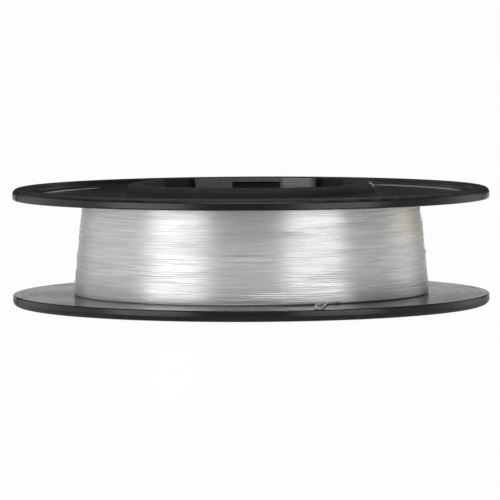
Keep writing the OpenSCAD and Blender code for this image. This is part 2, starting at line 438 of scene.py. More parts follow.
def winding_tree(name, crossing):
    """Line on the drum: one helix that fills it, or strands that cross the helix at random."""
    group = bpy.data.node_groups.new(name, "GeometryNodeTree")
    with_sockets(group, WINDING_INPUTS, [("Geometry", "NodeSocketGeometry")])
    t = Tree(group)
    given = t.add("NodeGroupInput").outputs

    base = t.add("GeometryNodeCurvePrimitiveLine")
    sampled = t.add("GeometryNodeResampleCurve", mode="COUNT")
    t.feed(sampled.inputs["Curve"], base.outputs["Curve"])
    t.feed(sampled.inputs["Count"], given["Points"])
    many = t.add("GeometryNodeDuplicateElements", domain="SPLINE")
    t.feed(many.inputs["Geometry"], sampled.outputs["Curve"])
    t.feed(many.inputs["Amount"], given["Strands"])
    strand = many.outputs["Duplicate Index"]
    along = t.add("GeometryNodeSplineParameter").outputs["Factor"]
    foot, top = given["Foot Height"], given["Top Height"]
    deep = t.math("SUBTRACT", top, foot)

    def random(low, high, offset):
        """A random number for each strand."""
        node = t.add("FunctionNodeRandomValue", data_type="FLOAT")
        t.feed(node.inputs[RANDOM_LOW], low)
        t.feed(node.inputs[RANDOM_HIGH], high)
        t.feed(node.inputs["ID"], strand)
        t.feed(node.inputs["Seed"], t.math("ADD", given["Seed"], offset))
        return node.outputs[RANDOM_RESULT]

    if crossing:
        middle = t.math("ADD", random(0.0, TAU, 1), given["End Azimuth"])
        half = t.product(given["Turns"], random(*CROSSING_LENGTHS, 2), math.pi)
        way = t.math("SUBTRACT", t.math("MULTIPLY", along, 2.0), 1.0)
        swing = t.math("MULTIPLY", way, half)
        azimuth = t.math("ADD", middle, swing)
        level = random(*CROSSING_LEVELS, 3)
        climb = random(t.math("MULTIPLY", given["Climb"], -1.0), given["Climb"], 4)
        share = t.math("PINGPONG", t.math("ADD", level, t.math("MULTIPLY", swing, climb)), 1.0)
        sink = t.math("MULTIPLY", t.math("POWER", t.math("ABSOLUTE", way), SINK_POWER), given["Sink"])
        fade = 1.0
    else:
        left = t.math("SUBTRACT", 1.0, along)
        azimuth = t.math("ADD", given["End Azimuth"], t.product(left, given["Turns"], TAU))
        share = left
        sink = 0.0
        fade = t.math("MINIMUM", 1.0, t.math("MULTIPLY", t.math("MINIMUM", along, left), given["Turns"]))
    c, s = t.math("COSINE", azimuth), t.math("SINE", azimuth)
    height = t.math("ADD", foot, t.math("MULTIPLY", deep, share))

    def wave(round_scale, high_scale, offset):
        """Noise from -1 to 1 that closes on itself round the drum."""
        place = t.vector(
            t.math("ADD", t.math("MULTIPLY", c, round_scale), offset),
            t.math("MULTIPLY", s, round_scale),
            t.math("MULTIPLY", height, high_scale),
        )
        return t.math("SUBTRACT", t.math("MULTIPLY", t.noise(place, 1.0, 2.0), 2.0), 1.0)

    seed = given["Seed"]
    drift = t.product(wave(*DRIFT_SCALE, seed), given["Wander"], fade)
    height = t.math("ADD", height, drift)
    height = t.math("MINIMUM", t.math("MAXIMUM", height, foot), top)
    part = t.math("DIVIDE", t.math("SUBTRACT", height, foot), deep)
    slope = t.math("SUBTRACT", given["Top Radius"], given["Foot Radius"])
    radius = t.math("ADD", given["Foot Radius"], t.math("MULTIPLY", slope, part))
    bulk = t.math("MULTIPLY", wave(*LUMPS_SCALE, LUMPS_PLACE), given["Lumps"])
    shiver = t.math("MULTIPLY", wave(*JITTER_SCALE, t.math("ADD", seed, JITTER_PLACE)), given["Jitter"])
    uneven = t.math("MULTIPLY", wave(*BULGE_SCALE, BULGE_PLACE), BULGE_UNEVEN)
    uneven = t.math("ADD", uneven, BULGE_STEADY)
    uneven = t.product(uneven, given["Bulge"], t.spread(c, *BULGE_SIDE))
    belly = t.spread(t.math("ABSOLUTE", t.math("SUBTRACT", share, BULGE_MIDDLE)), *BULGE_FALL)
    shiver = t.math("ADD", shiver, t.math("MULTIPLY", uneven, belly))
    radius = t.math("ADD", radius, t.math("MULTIPLY", t.math("ADD", bulk, shiver), fade))
    radius = t.math("SUBTRACT", t.math("ADD", radius, given["Rise"]), sink)
    place = t.add("GeometryNodeSetPosition")
    t.feed(place.inputs["Geometry"], many.outputs["Geometry"])
    wound = t.vector(t.math("MULTIPLY", radius, c), t.math("MULTIPLY", radius, s), height)
    t.feed(place.inputs["Position"], wound)

    tone = t.add("GeometryNodeStoreNamedAttribute", data_type="FLOAT", domain="POINT")
    t.feed(tone.inputs["Geometry"], place.outputs["Geometry"])
    t.feed(tone.inputs["Name"], "tone")
    streak = t.vector(
        t.math("MULTIPLY", c, STREAK_ROUND), t.math("MULTIPLY", s, STREAK_ROUND),
        t.math("ADD", t.math("MULTIPLY", height, STREAK_UP), t.math("MULTIPLY", strand, STREAK_STEP)),
    )
    t.feed(tone.inputs["Value"], t.noise(streak, detail=3.0, rough=0.6))

    ring = t.add("GeometryNodeCurvePrimitiveCircle")
    t.feed(ring.inputs["Resolution"], given["Sides"])
    t.feed(ring.inputs["Radius"], given["Line Radius"])
    skin = t.add("GeometryNodeCurveToMesh")
    t.feed(skin.inputs["Curve"], tone.outputs["Geometry"])
    t.feed(skin.inputs["Profile Curve"], ring.outputs["Curve"])
    t.feed(skin.inputs["Fill Caps"], True)
    smooth = t.add("GeometryNodeSetShadeSmooth")
    t.feed(smooth.inputs["Geometry"], skin.outputs["Mesh"])
    real = t.add("GeometryNodeRealizeInstances")
    t.feed(real.inputs["Geometry"], smooth.outputs["Geometry"])
    painted = t.add("GeometryNodeSetMaterial")
    t.feed(painted.inputs["Geometry"], real.outputs["Geometry"])
    t.feed(painted.inputs["Material"], given["Material"])
    out = t.add("NodeGroupOutput")
    t.feed(out.inputs["Geometry"], painted.outputs["Geometry"])
    return group


# How far the strands' normals turn towards straight out, how far they are kept from looking up or
# down, and how far round to the back of a strand both reach
SOFTNESS = 2.2
CALM = 0.82
FACING_REACH = 0.3


def soften(mesh):
    """Turns the normals on the outer side of the strands towards straight out from the drum."""
    normals = []
    for vertex in mesh.vertices:
        out = Vector((vertex.co.x, vertex.co.y, 0)).normalized()
        facing = max(0.0, vertex.normal.dot(out) + FACING_REACH)
        soft = (vertex.normal + out * SOFTNESS * facing).normalized()
        soft.z *= 1 - CALM * facing
        normals.append(soft.normalized())
    mesh.normals_split_custom_set_from_vertices(normals)


def wind(name, tree, material, **values):
    """One piece of the winding from a Geometry Nodes tree, as a plain mesh."""
    obj = bpy.data.objects.new(name, bpy.data.meshes.new(name))
    bpy.context.scene.collection.objects.link(obj)
    modifier = obj.modifiers.new("winding", "NODES")
    modifier.node_group = tree
    set_inputs(modifier, {**values, "Material": material})
    settle(obj)
    turn_outwards(obj.data)
    obj.data.shade_smooth()
    soften(obj.data)
    return obj


# ---------------------------------------------------------------- materials


# How much slower turning marks change with height than with radius. Specks and drifts of dust: their scale
# beside the grain's and the patches', and the range of the noise that shows
RING_SLOWNESS = 0.3
SPECK_SCALE, SPECK_RANGE = 0.4, (0.76, 0.82)
DUST_DRIFT_SCALE, DUST_DRIFT_RANGE = 1.7, (0.45, 0.7)


def moulding_group():
    """What every moulded surface has: faint patches, fine grain, turning marks and specks of dust."""
    group = bpy.data.node_groups.new("Moulded surface", "ShaderNodeTree")
    with_sockets(
        group,
        [
            ("Vector", "NodeSocketVector"), ("Patch Scale", "NodeSocketFloat"),
            ("Grain Scale", "NodeSocketFloat"), ("Ring Scale", "NodeSocketFloat"),
        ],
        [(name, "NodeSocketFloat") for name in ("Patches", "Grain", "Rings", "Dust")],
    )
    t = Tree(group)
    given = t.add("NodeGroupInput").outputs
    place = given["Vector"]
    x, y, z = t.apart(place)
    out = t.add("NodeGroupOutput")
    t.feed(out.inputs["Patches"], t.noise(place, given["Patch Scale"], detail=4.0, rough=0.6))
    t.feed(out.inputs["Grain"], t.noise(place, given["Grain Scale"], detail=3.0, rough=0.6))
    turned = t.vector(t.length(x, y), 0.0, t.math("MULTIPLY", z, RING_SLOWNESS))
    t.feed(out.inputs["Rings"], t.noise(turned, given["Ring Scale"], detail=3.0, rough=0.7))
    speck_scale = t.math("MULTIPLY", given["Grain Scale"], SPECK_SCALE)
    specks = t.spread(t.noise(place, speck_scale, detail=1.0), *SPECK_RANGE)
    drift_scale = t.math("MULTIPLY", given["Patch Scale"], DUST_DRIFT_SCALE)
    drifts = t.spread(t.noise(place, drift_scale), *DUST_DRIFT_RANGE)
    t.feed(out.inputs["Dust"], t.math("MULTIPLY", specks, drifts))
    return group


# Wear: its fall with distance from the edge as a share of the width, its noise's scale, and the range
# of the noise that shows
WEAR_FALL = (0.3, 1.0, 1.0, 0.0)
WEAR_SCALE, WEAR_RANGE = 420.0, (0.45, 0.7)


def worn_edge_group():
    """Rub marks along a round edge, given by its radius and its height from the spool's middle."""
    group = bpy.data.node_groups.new("Worn edge", "ShaderNodeTree")
    with_sockets(
        group,
        [
            ("Vector", "NodeSocketVector"), ("Edge Radius", "NodeSocketFloat"),
            ("Edge Height", "NodeSocketFloat"), ("Width", "NodeSocketFloat"),
        ],
        [("Wear", "NodeSocketFloat")],
    )
    t = Tree(group)
    given = t.add("NodeGroupInput").outputs
    x, y, z = t.apart(given["Vector"])
    out = t.math("SUBTRACT", t.length(x, y), given["Edge Radius"])
    up = t.math("SUBTRACT", t.from_middle(z), given["Edge Height"])
    near = t.spread(t.math("DIVIDE", t.length(out, up), given["Width"]), *WEAR_FALL)
    rubbed = t.spread(t.noise(given["Vector"], WEAR_SCALE, detail=5.0, rough=0.7), *WEAR_RANGE)
    t.feed(t.add("NodeGroupOutput").inputs["Wear"], t.math("MULTIPLY", near, rubbed))
    return group


# Zones of the winding's shades in millimetres: from, to, and the share at each where it isn't 0 and 1
UNEVEN_RIGHT = (4.0, 14.0, 0.7, 1.5)
UNEVEN_LEFT = (-14.0, -17.0, 0.7, 1.2)
# Painted warm reflection, high on the right of the winding
WARM_REFLECTION_RIGHT = (19.0, 22.5)
WARM_REFLECTION_TOP = (9.0, 12.0)
# Painted shade by the lower flange: low on both sides, and at the winding's foot
LOW_SHADE_RIGHT = (12.0, 15.5)
LOW_SHADE_LEFT = (-14.0, -17.5, 0.0, 0.8)
LOW_SHADE_FALL = (INNER_Z0 + 0.4, INNER_Z0 + 6.0, 1.0, 0.0)
FOOT_SHADE_FALL = (INNER_Z0 + 0.2, INNER_Z0 + 1.5, 0.9, 0.0)
# Painted contact shade in the slot between the lowest turns and the lower flange
CONTACT_SHADE_FALL = (INNER_Z0 + 0.12, INNER_Z0 + 0.3, 1.0, 0.0)
CONTACT_SHADE_SIDE = (-2.0, 8.0, 0.4, 0.95)

# The same shades' clouds: scale of each noise, ranges of it, and how warm the drifts are
CLOUD_SCALE, CLOUDED_LOW_SHADE = 60.0, (0.25, 0.6, 0.7, 1.0)
WARM_SCALE, WARM_RANGE, WARM_DRIFTS = 38.0, (0.55, 0.75), 0.3
MIDDLE_TONE = 0.5
TONE_RANGE = (0.3, 0.7)


def strand_group():
    """How the line's shade goes from strand to strand, with wide clouds and warm drifts, and a painted warm
    reflection high on the right.

    One output paints shade by the lower flange: darker at the winding's foot, and low on both sides.
    Another paints the contact shade in the slot between the lowest turns and that flange.
    """
    group = bpy.data.node_groups.new("Strand shade", "ShaderNodeTree")
    with_sockets(
        group,
        [("Tone", "NodeSocketFloat"), ("Vector", "NodeSocketVector"), ("Cloud Share", "NodeSocketFloat")],
        [(name, "NodeSocketFloat") for name in ("Shade", "Warmth", "Low Shade", "Gap")],
    )
    t = Tree(group)
    given = t.add("NodeGroupInput").outputs
    out = t.add("NodeGroupOutput").inputs
    x, y, z = t.apart(given["Vector"])
    cloud = t.noise(given["Vector"], CLOUD_SCALE, detail=3.0)
    clouded = t.math("MULTIPLY", t.math("SUBTRACT", cloud, given["Tone"]), given["Cloud Share"])
    mixed = t.math("ADD", given["Tone"], clouded)
    uneven = t.math("MAXIMUM", t.zone(x, *UNEVEN_RIGHT), t.zone(x, *UNEVEN_LEFT))
    mixed = t.math("ADD", t.math("MULTIPLY", t.math("SUBTRACT", mixed, MIDDLE_TONE), uneven), MIDDLE_TONE)
    t.feed(out["Shade"], t.spread(mixed, *TONE_RANGE))
    # Painted warm reflection high on the right, with warm drifts elsewhere
    warm_reflection = t.math("MULTIPLY", t.zone(x, *WARM_REFLECTION_RIGHT), t.zone(z, *WARM_REFLECTION_TOP))
    drifts = t.spread(t.noise(given["Vector"], WARM_SCALE), *WARM_RANGE)
    t.feed(out["Warmth"], t.math("MAXIMUM", warm_reflection, t.math("MULTIPLY", drifts, WARM_DRIFTS)))
    # Painted shade by the lower flange: low on both sides, and all round at the winding's foot
    low = t.math("POWER", t.zone(z, *LOW_SHADE_FALL), 2.0)
    low = t.math("MULTIPLY", low, t.spread(cloud, *CLOUDED_LOW_SHADE))
    sides = t.math("ADD", t.zone(x, *LOW_SHADE_RIGHT), t.zone(x, *LOW_SHADE_LEFT))
    t.feed(out["Low Shade"], t.math("MAXIMUM", t.math("MULTIPLY", sides, low), t.zone(z, *FOOT_SHADE_FALL)))
    # Painted contact shade under the lowest turns
    t.feed(out["Gap"], t.math("MULTIPLY", t.zone(z, *CONTACT_SHADE_FALL), t.zone(x, *CONTACT_SHADE_SIDE)))
    return group


def new_material(name):
    """A material with its tree and its main shader."""
    material = bpy.data.materials.new(name)
    material.use_nodes = True
    t = Tree(material.node_tree)
    shader = material.node_tree.nodes["Principled BSDF"]
    return material, t, shader


# The moulded surface: scale of its patches, grain and turning marks
SURFACE_SCALES = {"Patch Scale": 90.0, "Grain Scale": 2600.0, "Ring Scale": 2200.0}
PATCH_RANGE = (0.3, 0.75)
WORN, WORN_SHARE = (0.06, 0.06, 0.06, 1), 0.5
SPECKS, SPECK_SHARE = (0.2, 0.2, 0.19, 1), 0.3

# Painted highlight streaks in the corner at the rim's foot, on the far side. Zones in millimetres: from, to,
# and the share at each where it isn't 0 and 1. The left arc lies nearer the bore by the shift below
CORNER_HIGHLIGHT = (0.6, 0.6, 0.58, 1)
CORNER_HIGHLIGHT_RIGHT = (17.0, 20.0)
CORNER_HIGHLIGHT_LEFT = (-22.6, -24.2)
CORNER_HIGHLIGHT_FAR_END = (29.5, 32.0, 1.0, 0.1)
CORNER_HIGHLIGHT_NEAR_RIGHT = (18.0, 27.0, 0.7, 1.0)
CORNER_HIGHLIGHT_NEAR_LEFT = (-1.0, 1.0, 0.85, 0.0)
CORNER_HIGHLIGHT_SHIFT = (-5.0, 5.0, 1.4 * MM, 0.0)
CORNER_HIGHLIGHT_ACROSS = ((RIM_FOOT_R - 2.2, RIM_FOOT_R - 1.2), (RIM_FOOT_R - 0.5, RIM_FOOT_R + 0.1))
CORNER_HIGHLIGHT_BACK = (3.0, 8.0)
WEB_FACE = MIDDLE_Z - COLLAR_RISE - RIM_T + WEB_T
CORNER_HIGHLIGHT_HEIGHT = ((WEB_FACE - 0.3, WEB_FACE - 0.1), (WEB_FACE + 0.05, WEB_FACE + 0.2))
CORNER_HIGHLIGHT_PATCHES = (0.25, 0.55, 0.45, 1.0)

# The bore's wall made paler in places: most on one finger at the back, and a little on the others towards the
# middle
PALE_BORE = (0.42, 0.42, 0.43, 1)
PALE_BORE_DEPTH = (BORE_R + 0.15, BORE_R + 0.3, 1.0, 0.0)
PALEST_ACROSS = ((4.6, 5.0), (8.8, 9.3))
PALEST_BACK = (0.0, 5.0)
PALEST_SHARE = 0.3
PALE_BORE_SIDES = (9.4, 10.5, 0.2, 0.04)
PALE_BORE_GRAIN = (0.3, 0.6, 0.75, 1.0)

# A painted highlight on the right of the collar's round shoulder
SHOULDER_HIGHLIGHT, SHOULDER_HIGHLIGHT_SHARE = (0.5, 0.5, 0.49, 1), 0.7
SHOULDER_HIGHLIGHT_ALONG = ((-3.6, -2.6), (8.0, 9.2))
SHOULDER_HIGHLIGHT_RIGHT = (15.2, 15.8)
SHOULDER_HIGHLIGHT_ACROSS = ((COLLAR_R - 0.85, COLLAR_R - 0.7), (COLLAR_R + 0.05, COLLAR_R + 0.1))
SHOULDER_HIGHLIGHT_HEIGHT = (MIDDLE_Z - 0.68, MIDDLE_Z - 0.55)

# How the roughness changes: over the web, the rim's wall and the step to the inner faces, in
# millimetres, and by how much patches, rings, wear, dust specks and the painted highlight streaks change it
ROUGH_WEB = (COLLAR_R + 0.5, COLLAR_R + 1.5)
ROUGH_WALL = (FLANGE_R - 0.7, FLANGE_R - 0.2)
ROUGH_STEP = (MIDDLE_Z - COLLAR_H + 0.1, MIDDLE_Z - COLLAR_H + 0.5)
ROUGH_PATCHES = (0.3, 0.7, -0.02, 0.04)
ROUGH_RINGS = (0.35, 0.65, -0.015, 0.02)
ROUGH_MARKS, ROUGH_CORNER_HIGHLIGHT = 0.15, 0.6
PLASTIC_IOR = 1.42
BUMP_STRENGTH, BUMP_DEPTH, BUMP_RINGS = 0.03, 0.02, 0.8


def corner_highlight(t, x, y, radius, height, patches):
    """Where the painted highlight streaks lie in the corner at the rim's foot: two arcs, left and right of
    the bore.
    """
    sides = t.math("ADD", t.zone(x, *CORNER_HIGHLIGHT_RIGHT), t.zone(x, *CORNER_HIGHLIGHT_LEFT))
    far_end = t.zone(t.math("ABSOLUTE", x), *CORNER_HIGHLIGHT_FAR_END)
    near_end = t.math("MAXIMUM", t.zone(x, *CORNER_HIGHLIGHT_NEAR_RIGHT), t.zone(x, *CORNER_HIGHLIGHT_NEAR_LEFT))
    shifted = t.math("ADD", radius, t.zone(x, *CORNER_HIGHLIGHT_SHIFT))
    across = t.within(shifted, *CORNER_HIGHLIGHT_ACROSS)
    lying = t.math("MULTIPLY", t.within(height, *CORNER_HIGHLIGHT_HEIGHT), t.zone(y, *CORNER_HIGHLIGHT_BACK))
    return t.product(sides, far_end, near_end, across, lying, t.spread(patches, *CORNER_HIGHLIGHT_PATCHES))


def bore_paleness(t, x, y, radius, grain):
    """How much paler the bore's wall is made in places."""
    palest_finger = t.product(t.within(x, *PALEST_ACROSS), t.zone(y, *PALEST_BACK), PALEST_SHARE)
    paler = t.math("ADD", palest_finger, t.zone(t.math("ABSOLUTE", x), *PALE_BORE_SIDES))
    return t.product(t.zone(radius, *PALE_BORE_DEPTH), paler, t.spread(grain, *PALE_BORE_GRAIN))


def shoulder_highlight(t, x, y, radius, height):
    """Where the painted highlight lies on the collar's shoulder."""
    along = t.math("MULTIPLY", t.within(y, *SHOULDER_HIGHLIGHT_ALONG), t.zone(x, *SHOULDER_HIGHLIGHT_RIGHT))
    return t.product(along, t.within(radius, *SHOULDER_HIGHLIGHT_ACROSS), t.zone(height, *SHOULDER_HIGHLIGHT_HEIGHT))


def plastic(name, dark, light, inside, outside, edges, highlight_streaks, groups):
    """Black moulded plastic, with its roughness next to the line, and outside on collar, web and rim's wall.

    Edges that wear are (radius, height from the spool's middle, width) in millimetres. With painted highlight
    streaks at the rim's foot it also has a bore made paler in places and a painted highlight on the collar's
    shoulder.
    """
    material, t, shader = new_material(name)
    place = t.add("ShaderNodeTexCoord").outputs["Object"]
    surface = t.add("ShaderNodeGroup", node_tree=groups["moulding"])
    t.feed(surface.inputs["Vector"], place)
    for socket, value in SURFACE_SCALES.items():
        t.feed(surface.inputs[socket], value)
    made = surface.outputs
    wear = 0.0
    for radius, height, width in edges:
        edge = t.add("ShaderNodeGroup", node_tree=groups["worn edge"])
        t.feed(edge.inputs["Vector"], place)
        t.feed(edge.inputs["Edge Radius"], radius * MM)
        t.feed(edge.inputs["Edge Height"], height * MM)
        t.feed(edge.inputs["Width"], width * MM)
        wear = t.math("ADD", wear, edge.outputs["Wear"])
    x, y, z = t.apart(place)
    radius, height = t.length(x, y), t.from_middle(z)

    colour = t.blend(t.spread(made["Patches"], *PATCH_RANGE), dark, light)
    colour = t.blend(t.math("MULTIPLY", wear, WORN_SHARE), colour, WORN)
    colour = t.blend(t.math("MULTIPLY", made["Dust"], SPECK_SHARE), colour, SPECKS)

    collar, web, wall = outside
    outer = t.zone(radius, *ROUGH_WEB, collar, web)
    outer = t.math("ADD", outer, t.zone(radius, *ROUGH_WALL, 0.0, wall - web))
    rough = t.zone(height, *ROUGH_STEP, inside, outer)
    rough = t.math("ADD", t.spread(made["Patches"], *ROUGH_PATCHES), rough)
    rough = t.math("ADD", rough, t.spread(made["Rings"], *ROUGH_RINGS))
    rough = t.math("ADD", rough, t.math("MULTIPLY", t.math("ADD", wear, made["Dust"]), ROUGH_MARKS))

    # Painted highlight streaks at the rim's foot, the bore made paler in places, and a painted highlight on
    # the collar's shoulder
    if highlight_streaks:
        corner = corner_highlight(t, x, y, radius, height, made["Patches"])
        colour = t.blend(t.math("MULTIPLY", corner, highlight_streaks), colour, CORNER_HIGHLIGHT)
        colour = t.blend(bore_paleness(t, x, y, radius, made["Grain"]), colour, PALE_BORE)
        shoulder_glint = shoulder_highlight(t, x, y, radius, height)
        colour = t.blend(t.math("MULTIPLY", shoulder_glint, SHOULDER_HIGHLIGHT_SHARE), colour, SHOULDER_HIGHLIGHT)
        rough = t.math("ADD", rough, t.math("MULTIPLY", corner, ROUGH_CORNER_HIGHLIGHT))

    t.feed(shader.inputs["Base Color"], colour)
    t.feed(shader.inputs["Roughness"], rough)
    shader.inputs["IOR"].default_value = PLASTIC_IOR
    bump = t.add("ShaderNodeBump")
    t.feed(bump.inputs["Strength"], BUMP_STRENGTH)
    t.feed(bump.inputs["Distance"], BUMP_DEPTH * MM)
    t.feed(bump.inputs["Height"], t.math("ADD", made["Grain"], t.math("MULTIPLY", made["Rings"], BUMP_RINGS)))
    t.feed(shader.inputs["Normal"], bump.outputs["Normal"])
    return material


# Nylon: the cast that turns a tone warm, its two painted shade tones with their shares, and its inner glow
WARM_CAST = (1.0, 0.95, 0.8, 1)
LOW_SHADE, LOW_SHADE_SHARE = (0.30, 0.30, 0.31, 1), 0.85
CONTACT_SHADE, CONTACT_SHADE_SHARE = (0.03, 0.03, 0.03, 1), 0.95
NYLON_IOR = 1.53
GLOW_WEIGHT, GLOW_DEPTH = 0.7, 0.2
ROUGH_SWING = 0.05


def clear_line(name, deep, bright, roughness, metal, cloud_share, groups):
    """Clear nylon, wound thick: pale, with a shade that runs along each strand."""
    material, t, shader = new_material(name)
    strand = t.add("ShaderNodeGroup", node_tree=groups["strand"])
    t.feed(strand.inputs["Tone"], t.add("ShaderNodeAttribute", attribute_name="tone").outputs["Fac"])
    t.feed(strand.inputs["Vector"], t.add("ShaderNodeTexCoord").outputs["Object"])
    t.feed(strand.inputs["Cloud Share"], cloud_share)
    shade, warmth = strand.outputs["Shade"], strand.outputs["Warmth"]
    # Warm tones for the painted warm reflection and the warm drifts
    warm_deep, warm_bright = (tuple(c * w for c, w in zip(tone, WARM_CAST)) for tone in (deep, bright))
    colour = t.blend(shade, t.blend(warmth, deep, warm_deep), t.blend(warmth, bright, warm_bright))
    # Painted shade by the lower flange, then painted contact shade under the lowest turns
    colour = t.blend(t.math("MULTIPLY", strand.outputs["Low Shade"], LOW_SHADE_SHARE), colour, LOW_SHADE)
    colour = t.blend(t.math("MULTIPLY", strand.outputs["Gap"], CONTACT_SHADE_SHARE), colour, CONTACT_SHADE)
    t.feed(shader.inputs["Base Color"], colour)
    rough = t.spread(shade, 0.0, 1.0, roughness + ROUGH_SWING, roughness - ROUGH_SWING)
    t.feed(shader.inputs["Roughness"], rough)
    shader.inputs["Metallic"].default_value = metal
    shader.inputs["IOR"].default_value = NYLON_IOR
    shader.inputs["Subsurface Weight"].default_value = GLOW_WEIGHT
    shader.inputs["Subsurface Radius"].default_value = (1, 1, 1)
    shader.inputs["Subsurface Scale"].default_value = GLOW_DEPTH * MM
    return material


# One strand: its tones, its cloud share, its roughness, and the tones over which its start takes the painted
# contact shade
STRAND_DEEP, STRAND_BRIGHT = (0.30, 0.30, 0.295, 1), (0.55, 0.55, 0.54, 1)
STRAND_CLOUDS = 0.5
STRAND_ROUGH = (0.2, 0.1)
SHADED_START_TONES = (0.2, 0.4, 0.9, 0.0)


def single_strand(groups):
    """One strand by itself: nylon with little of the winding's own brightness."""
    material, t, shader = new_material("single strand")
    strand = t.add("ShaderNodeGroup", node_tree=groups["strand"])
    tone = t.add("ShaderNodeAttribute", attribute_name="tone").outputs["Fac"]
    t.feed(strand.inputs["Tone"], tone)
    t.feed(strand.inputs["Vector"], t.add("ShaderNodeTexCoord").outputs["Object"])
    t.feed(strand.inputs["Cloud Share"], STRAND_CLOUDS)
    shade = strand.outputs["Shade"]
    # The loose end's start takes the painted contact shade where it leaves the winding
    shaded_start = t.math("MULTIPLY", strand.outputs["Gap"], t.spread(tone, *SHADED_START_TONES))
    colour = t.blend(shade, STRAND_DEEP, STRAND_BRIGHT)
    t.feed(shader.inputs["Base Color"], t.blend(shaded_start, colour, CONTACT_SHADE))
    t.feed(shader.inputs["Roughness"], t.spread(shade, 0.0, 1.0, *STRAND_ROUGH))
    shader.inputs["IOR"].default_value = NYLON_IOR
    return material


# ---------------------------------------------------------------- pieces


def flange_outline():
    """Section of a flange, from the bore's mouth round to the snap finger."""
    return rounded_section([
        (BORE_R + MOUTH_DRAFT, COLLAR_H, MOUTH_ROUND),
        (COLLAR_R, COLLAR_H, SHOULDER_ROUND),
        (COLLAR_R, WEB_T, WEB_FILLET),
        (RIM_FOOT_R, WEB_T, WEB_FILLET),
        (RIM_FOOT_R, RIM_T, RIM_INNER_ROUND),
        (FLANGE_R, RIM_T, RIM_ROUND),
        (FLANGE_R, 0, RIM_BREAK),
        (FINGER_R, 0, SMALL_ROUND),
        (FINGER_R, BARB_Z, SMALL_ROUND / 2),
        (BARB_R, BARB_Z, SMALL_ROUND),
        (BARB_R, BARB_Z - TIP_LAND, SMALL_ROUND),
        (FINGER_R - TIP_LEAD, FINGER_Z, SMALL_ROUND),
        (BORE_R, FINGER_Z, SMALL_ROUND),
        (BORE_R, COLLAR_H - MOUTH_DEPTH, MOUTH_BREAK),
    ])


def flange_cuts():
    """The gaps between the fingers, which go on as windows or open notches, and the line slits."""
    inside, below = BORE_R - 1, FINGER_Z - 1
    window, notch = (
        [(inside, below), (HUB_INNER_R, below), (HUB_INNER_R, 0), (GAP_R, 0), (GAP_R, top), (inside, top)]
        for top in (COLLAR_H - LIP_T, COLLAR_H + 1)
    )
    parts = []
    for i in range(PATTERN):
        parts.append(sector(window, WINDOW_TURN + 360 / PATTERN * i, WINDOW_ARC))
        parts.append(sector(notch, WINDOW_TURN + 360 / PATTERN * (i + 0.5), NOTCH_ARC))
    parts += [slit_box(SLIT_TURN), slit_box(SLIT_TURN + 180)]
    return mesh_object("flange_cuts", *joined(parts))


def make_flanges(material):
    """Both flanges, which are the same moulding: one faces up, the other down."""
    upper = lathe("upper_flange_moulding", flange_outline(), steps=360)
    cuts = flange_cuts()
    trim = upper.modifiers.new("cuts", "BOOLEAN")
    trim.operation = "DIFFERENCE"
    trim.solver = "EXACT"
    trim.object = cuts
    settle(upper)
    bpy.data.objects.remove(cuts)
    lower = bpy.data.objects.new("lower_flange_moulding", upper.data.copy())
    bpy.context.scene.collection.objects.link(lower)
    upper.data.transform(Matrix.Translation((0, 0, INNER_Z1 * MM)))
    lower.data.transform(Matrix.Translation((0, 0, INNER_Z0 * MM)) @ Matrix.Diagonal((1, 1, -1, 1)))
    for obj, node in ((upper, "upper_flange"), (lower, "lower_flange")):
        turn_outwards(obj.data)
        shade(obj.data)
        obj.data.materials.clear()
        obj.data.materials.append(material)
        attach(obj, "root")
        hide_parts(node)


# How far the inner layers lie under the winding's outer face, in line diameters, and their ribs' rise
INNER_SINK = 0.36
RIB_RISE = 0.04


def make_inner_layers(material):
    """The layers under the outer one, as a ribbed body: one rib for each turn that lies there."""
    ribs, rib_points, steps = 46, 5, 180
    foot, top = INNER_Z0, INNER_Z1
    pitch = (top - foot) / ribs
    outline = [(HUB_R, top), (HUB_R, foot)]
    for i in range(ribs):
        for k in range(rib_points):
            a = math.pi * k / rib_points
            z = foot + pitch * (i + (1 - math.cos(a)) / 2)
            outline.append((fill_r(z) - LINE_D * INNER_SINK + RIB_RISE * math.sin(a), z))
    outline.append((fill_r(top) - LINE_D * INNER_SINK, top))
    body = lathe("inner_layers", outline, steps)
    body.data.shade_smooth()
    body.data.materials.append(material)
    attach(body, "root")
    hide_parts("line_core")


